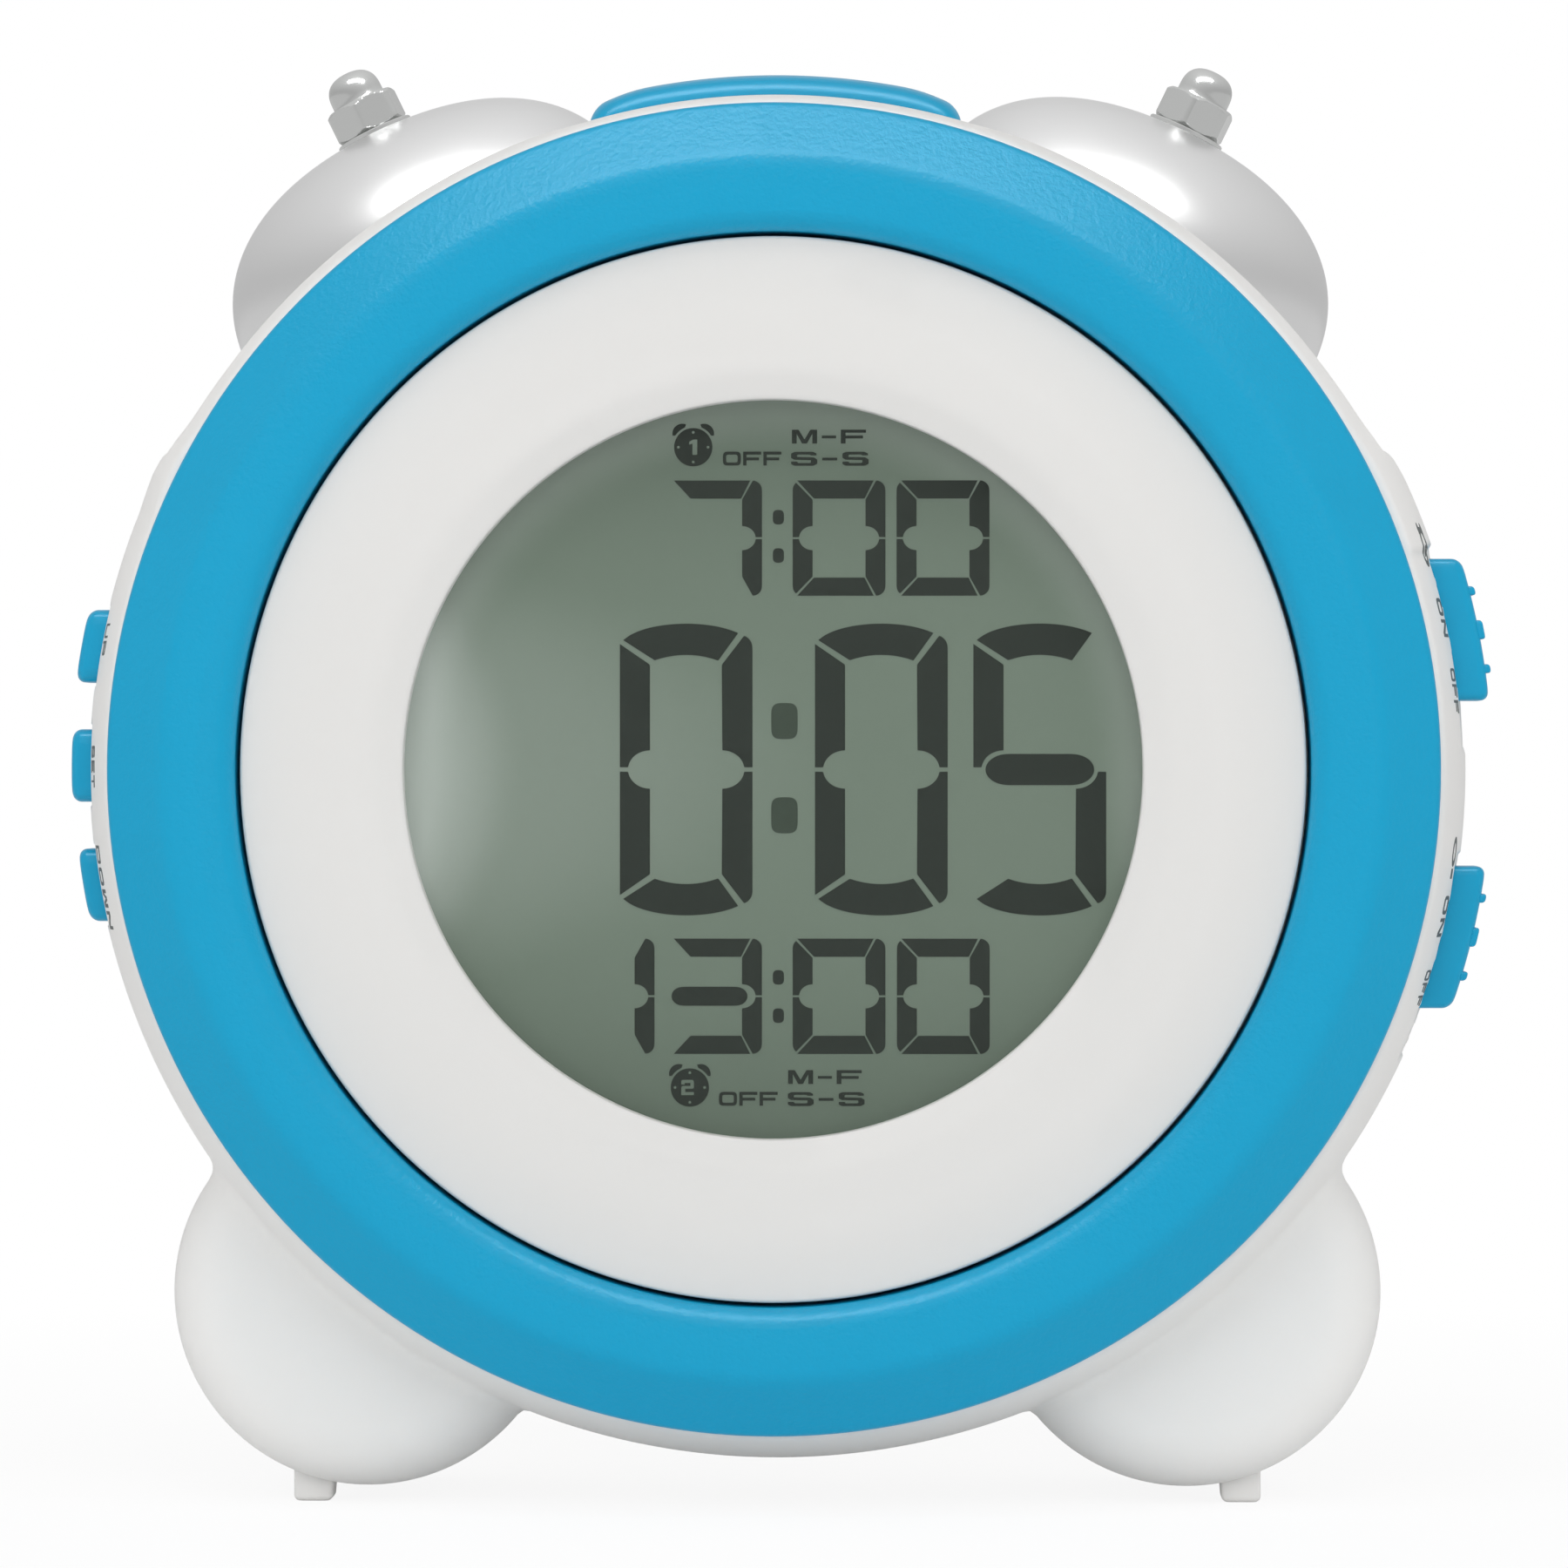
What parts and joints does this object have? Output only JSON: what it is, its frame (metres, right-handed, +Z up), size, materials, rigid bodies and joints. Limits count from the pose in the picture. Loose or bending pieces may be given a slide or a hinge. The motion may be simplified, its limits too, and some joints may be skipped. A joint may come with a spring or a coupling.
{
  "type": "kids alarm clock with night light",
  "caption": "Round digital alarm clock for children with twin bells, a glowing ring face, a snooze button on top, side buttons and slide switches, and battery power.",
  "frame": {"origin": "on the table, centred between the extents left to right and front to back", "axes": "+X to the viewer's right, -Y out of the display towards the viewer, +Z up"},
  "size_m": [0.1425, 0.066, 0.1462],
  "materials": {
    "shell": "satin white",
    "bezel": "fine matte grain",
    "buttons": "satin",
    "ring_face": "translucent white",
    "window": "clear",
    "display": "grey green",
    "light_guide": "frosted",
    "led": "clear epoxy",
    "inner_plastic": "white",
    "elastomer": "pink",
    "board": "solder mask",
    "black_plastic": "black",
    "switch_metal": "tinned",
    "bell_metal": "polished",
    "nut_metal": "polished",
    "screw_metal": "zinc plated",
    "cell": "wrapped",
    "contact": "nickel plated",
    "magnet": "dull"
  },
  "bodies": {
    "case": {"front_shell": "shell", "rear_shell": "shell", "front_bezel": "bezel", "night_light_ring": "ring_face", "display_window": "window", "lcd_panel": "display", "light_guide": "light_guide", "backlight_led": "led", "lcd_holder": "inner_plastic", "zebra_strips": "elastomer", "light_reflector": "inner_plastic", "night_light_leds": "led", "main_board": "board", "controller_chip": "black_plastic", "board_parts": "switch_metal", "board_screws": "screw_metal", "top_button_board": "board", "top_tact_switches": "black_plastic", "side_button_board": "board", "side_tact_switches": "black_plastic", "slide_switch_board": "board", "slide_switch_cans": "switch_metal", "left_bell": "bell_metal", "right_bell": "bell_metal", "left_bell_bolt": "screw_metal", "right_bell_bolt": "screw_metal", "left_bell_washer": "nut_metal", "right_bell_washer": "nut_metal", "left_acorn_nut": "nut_metal", "right_acorn_nut": "nut_metal", "foot_pegs": "shell", "battery_cells": "cell", "battery_springs": "contact", "battery_plates": "contact", "speaker_frame": "switch_metal", "speaker_cone": "black_plastic", "speaker_magnet": "magnet", "speaker_retainer": "contact", "speaker_screws": "screw_metal", "case_screws": "screw_metal"},
    "top_button": {"top_button": "buttons"},
    "up_button": {"up_button": "buttons"},
    "set_button": {"set_button": "buttons"},
    "down_button": {"down_button": "buttons"},
    "alarm_slider": {"alarm_slide_knob": "buttons", "alarm_switch_lever": "black_plastic"},
    "light_slider": {"light_slide_knob": "buttons", "light_switch_lever": "black_plastic"},
    "battery_door": {"battery_door": "shell"}
  },
  "joints": [
    {"name": "top_button_press", "type": "slide", "parent": "case", "child": "top_button", "axis": [0, 0, -1], "range_m": [0, 0.0012], "stiffness_N_per_m": 800},
    {"name": "up_button_press", "type": "slide", "parent": "case", "child": "up_button", "axis": [1, 0, 0], "range_m": [0, 0.001], "stiffness_N_per_m": 600},
    {"name": "set_button_press", "type": "slide", "parent": "case", "child": "set_button", "axis": [1, 0, 0], "range_m": [0, 0.001], "stiffness_N_per_m": 600},
    {"name": "down_button_press", "type": "slide", "parent": "case", "child": "down_button", "axis": [1, 0, 0], "range_m": [0, 0.001], "stiffness_N_per_m": 600},
    {"name": "alarm_slide", "type": "slide", "parent": "case", "child": "alarm_slider", "axis": [0, 0, -1], "range_m": [0, 0.0035]},
    {"name": "light_slide", "type": "slide", "parent": "case", "child": "light_slider", "axis": [0, 0, -1], "range_m": [0, 0.0035]},
    {"name": "battery_door_lift_off", "type": "slide", "parent": "case", "child": "battery_door", "axis": [0, 1, 0], "range_m": [0, 0.03]}
  ]
}
